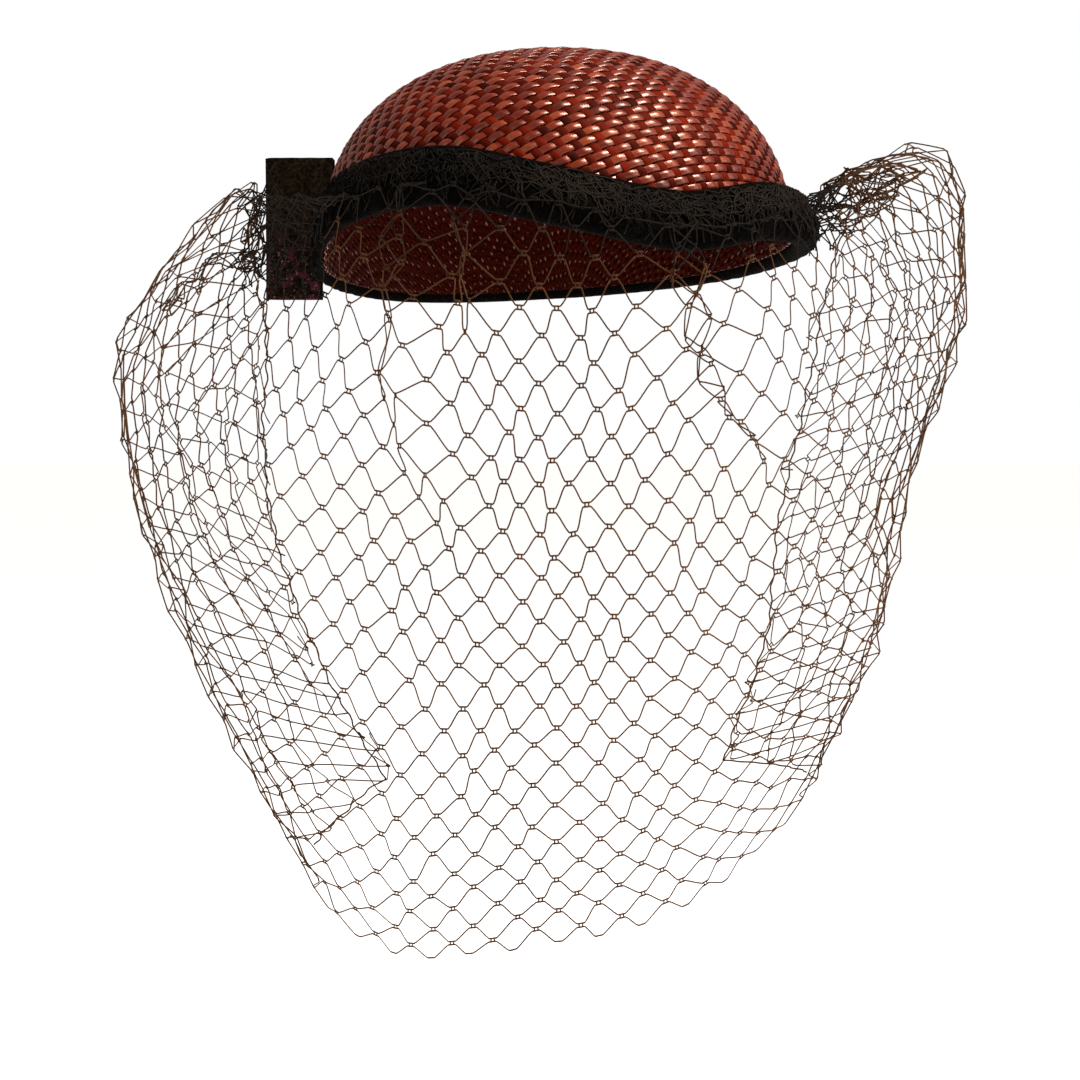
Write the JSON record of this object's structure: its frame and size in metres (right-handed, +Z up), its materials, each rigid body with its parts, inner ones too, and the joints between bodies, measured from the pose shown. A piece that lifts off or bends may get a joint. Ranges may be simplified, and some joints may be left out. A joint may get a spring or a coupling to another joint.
{
  "type": "cocktail hat with net veil",
  "caption": "Small woven straw hat with a rolled velvet band, a flat ribbon loop at one side and a coarse net veil gathered to the band and open at the back.",
  "frame": {"origin": "middle of the head opening, where a head holds the hat", "axes": "+Z up along the head, -Y the front, +X the wearer's left"},
  "size_m": [0.2823, 0.1924, 0.2893],
  "materials": {
    "straw": "glazed woven straw, red brown",
    "velvet": "matte black velvet",
    "ribbon": "black velvet ribbon with a plum sheen",
    "net": "fine dark brown thread net"
  },
  "bodies": {
    "root": {"crown": "straw", "band": "velvet", "side_loop": "ribbon", "veil": "net"}
  },
  "joints": []
}
